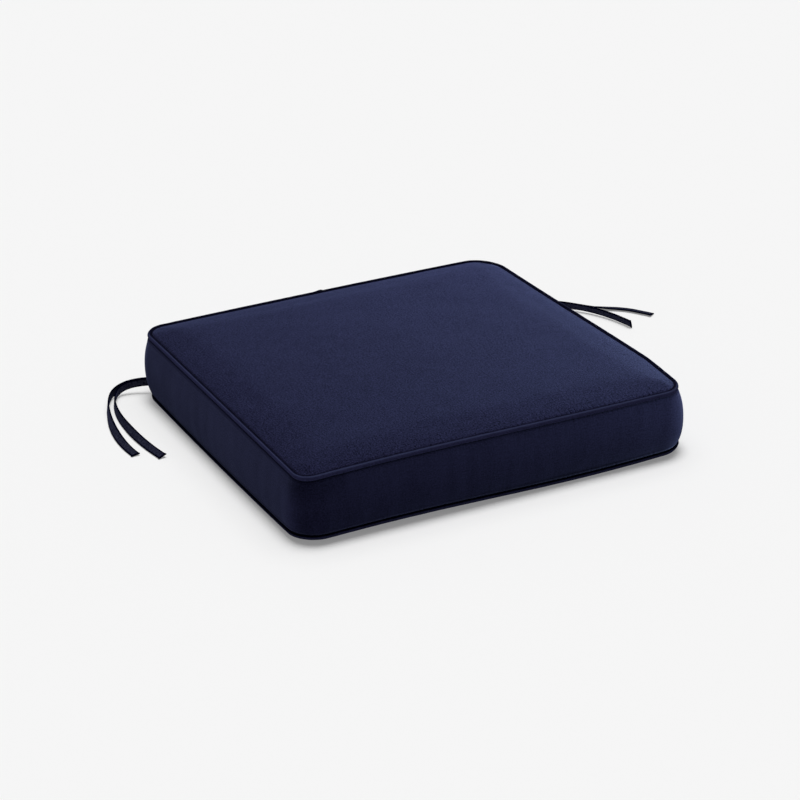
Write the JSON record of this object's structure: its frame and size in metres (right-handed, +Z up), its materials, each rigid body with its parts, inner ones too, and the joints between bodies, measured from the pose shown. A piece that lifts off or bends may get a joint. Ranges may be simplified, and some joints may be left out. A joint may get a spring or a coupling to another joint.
{
  "type": "chair cushion",
  "caption": "Box-edged square chair seat cushion with piped top and bottom seams and paired tie straps at the two rear corners.",
  "frame": {"origin": "on the surface it lies on, below the middle of the cushion", "axes": "+Z up through the cushion's thickness, +X to the right and +Y to the tied rear edge, seen from the wider front edge"},
  "size_m": [0.7578, 0.4694, 0.0981],
  "materials": {
    "cover_cloth": "navy plain-woven outdoor canvas, matt",
    "piping_cloth": "the same navy canvas cut on the bias over a cord, matt",
    "tie_cloth": "the same navy canvas folded to a flat strap and edge-stitched, matt"
  },
  "bodies": {
    "root": {"cushion_body": "cover_cloth", "piping_top": "piping_cloth", "piping_bottom": "piping_cloth", "tie_left_outer": "tie_cloth", "tie_left_inner": "tie_cloth", "tie_right_rear": "tie_cloth", "tie_right_front": "tie_cloth"}
  },
  "joints": []
}
